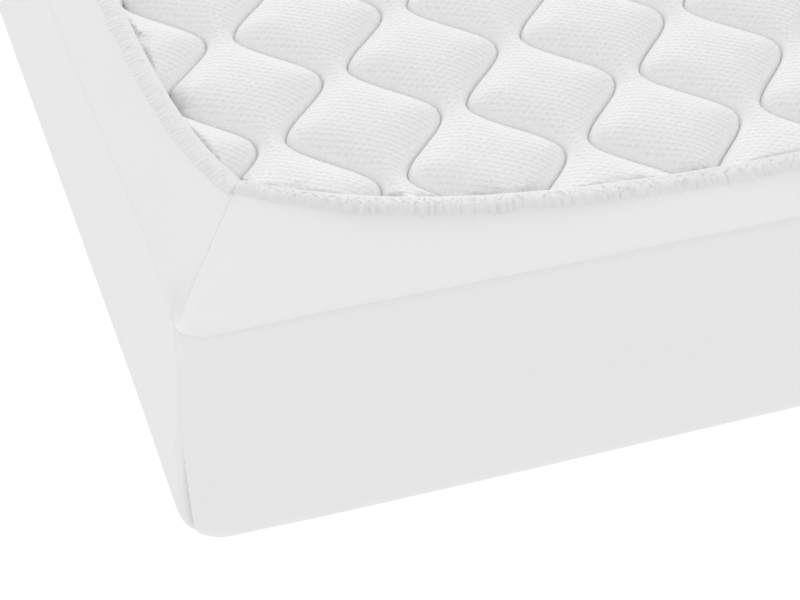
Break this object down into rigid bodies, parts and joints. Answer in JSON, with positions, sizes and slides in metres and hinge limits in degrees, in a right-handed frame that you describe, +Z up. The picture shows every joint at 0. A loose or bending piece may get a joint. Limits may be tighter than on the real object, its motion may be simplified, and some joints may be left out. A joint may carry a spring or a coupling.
{
  "type": "fitted sheet on a mattress",
  "caption": "White single fitted sheet stretched over a quilted mattress that lies face down, its elastic hem turned in over the edges and framing the quilting.",
  "frame": {"origin": "on the floor, under the middle of the bed's box", "axes": "+X across the bed, +Y along it, +Z up, away from the floor and towards the open side of the sheet"},
  "size_m": [0.9058, 2.0131, 0.2043],
  "materials": {
    "sheet": "smooth white stretch cotton jersey, matt, drawn tight, with a finely gathered elastic hem",
    "mattress": "white knitted ticking with a fine honeycomb of dimples, quilted in ogee cells"
  },
  "bodies": {
    "root": {"sheet": "sheet", "mattress": "mattress"}
  },
  "joints": []
}
